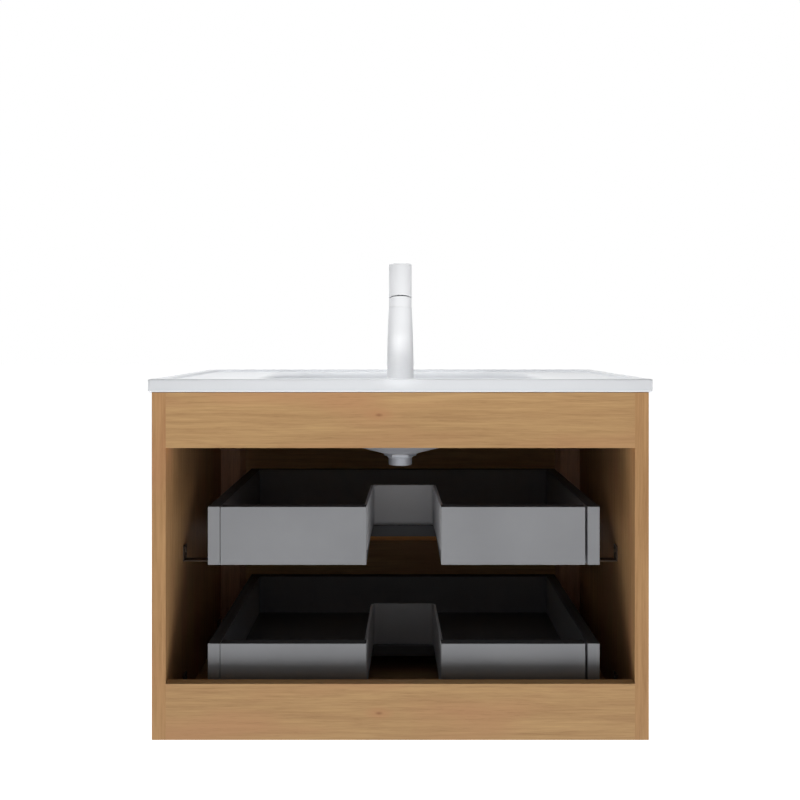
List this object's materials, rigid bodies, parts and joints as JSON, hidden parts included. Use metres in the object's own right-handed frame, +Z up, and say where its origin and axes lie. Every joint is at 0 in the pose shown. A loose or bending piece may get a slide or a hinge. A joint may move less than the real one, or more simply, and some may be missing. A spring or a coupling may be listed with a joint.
{
  "type": "wall-hung vanity unit",
  "caption": "Wall-hung oak vanity cabinet with open back, notched drawers, slab basin with one bowl and a single-lever mixer tap.",
  "frame": {"origin": "middle of the top rear rail's rear face, in the plane of the wall", "axes": "+Z up, +Y into the wall, so the unit faces -Y; +X to the right of someone facing it"},
  "size_m": [0.8, 0.46, 0.7566],
  "materials": {
    "oak": "matt oak veneer",
    "stile_oak": "matt oak",
    "beech": "raw beech",
    "grey_board": "grey melamine",
    "grey_moulding": "moulded grey plastic",
    "ceramic": "white glazed ceramic",
    "white_enamel": "satin white",
    "white_plastic": "moulded white",
    "chrome": "polished",
    "steel": "zinc plated",
    "dark_steel": "dark coated steel",
    "rubber": "black rubber"
  },
  "bodies": {
    "cabinet": {"side_panel_left": "oak", "side_panel_right": "oak", "bottom_panel": "oak", "top_rear_rail": "oak", "bottom_rear_rail": "oak", "top_front_rail": "oak", "front_stile_left": "stile_oak", "front_stile_right": "stile_oak", "carcass_dowels": "beech", "front_bumpers": "rubber", "basin": "ceramic", "waste_body": "chrome", "waste_core": "steel", "waste_seal": "rubber", "waste_washer": "rubber", "waste_nut": "white_plastic", "tap_body": "white_enamel", "tap_collar": "white_enamel", "tap_cartridge": "white_plastic", "tap_aerator": "chrome", "tap_base_seal": "rubber", "tap_stud": "steel", "tap_washer": "steel", "tap_nut": "steel", "upper_rail_left": "dark_steel", "upper_rail_right": "dark_steel", "lower_rail_left": "dark_steel", "lower_rail_right": "dark_steel", "runner_screws": "steel"},
    "waste_plug": {"waste_plug": "chrome"},
    "tap_spindle": {"tap_spindle": "steel"},
    "tap_handle": {"tap_handle": "white_enamel", "tap_lever": "white_enamel"},
    "upper_drawer": {"upper_front": "oak", "upper_box_front": "grey_board", "upper_side_left": "grey_board", "upper_side_right": "grey_board", "upper_back_left": "grey_board", "upper_back_right": "grey_board", "upper_bottom": "grey_board", "upper_notch": "grey_moulding", "upper_fixings": "steel", "upper_slide_left": "dark_steel", "upper_slide_right": "dark_steel"},
    "upper_mid": {"upper_mid_left": "steel", "upper_mid_right": "steel"},
    "lower_drawer": {"lower_front": "oak", "lower_box_front": "grey_board", "lower_side_left": "grey_board", "lower_side_right": "grey_board", "lower_back_left": "grey_board", "lower_back_right": "grey_board", "lower_bottom": "grey_board", "lower_notch": "grey_moulding", "lower_fixings": "steel", "lower_slide_left": "dark_steel", "lower_slide_right": "dark_steel"},
    "lower_mid": {"lower_mid_left": "steel", "lower_mid_right": "steel"}
  },
  "joints": [
    {"name": "upper_drawer_slide", "type": "slide", "parent": "cabinet", "child": "upper_drawer", "axis": [0, -1, 0], "range_m": [0, 0.35]},
    {"name": "upper_runner_slide", "type": "slide", "parent": "cabinet", "child": "upper_mid", "axis": [0, -1, 0], "range_m": [0, 0.175]},
    {"name": "lower_drawer_slide", "type": "slide", "parent": "cabinet", "child": "lower_drawer", "axis": [0, -1, 0], "range_m": [0, 0.35]},
    {"name": "lower_runner_slide", "type": "slide", "parent": "cabinet", "child": "lower_mid", "axis": [0, -1, 0], "range_m": [0, 0.175]},
    {"name": "handle_swivel", "type": "hinge", "parent": "cabinet", "child": "tap_spindle", "pos_m": [0, -0.06, 0.1944], "axis": [0, -0.2588, 0.9659], "range_deg": [-45, 45]},
    {"name": "handle_lift", "type": "hinge", "parent": "tap_spindle", "child": "tap_handle", "pos_m": [0, -0.04764, 0.20237], "axis": [-1, 0, 0], "range_deg": [0, 20]},
    {"name": "plug_lift", "type": "slide", "parent": "cabinet", "child": "waste_plug", "axis": [0, 0, 1], "range_m": [0, 0.008]}
  ],
  "couplings": [
    {"joint": "upper_runner_slide", "follows": "upper_drawer_slide", "ratio": 0.5},
    {"joint": "lower_runner_slide", "follows": "lower_drawer_slide", "ratio": 0.5}
  ]
}
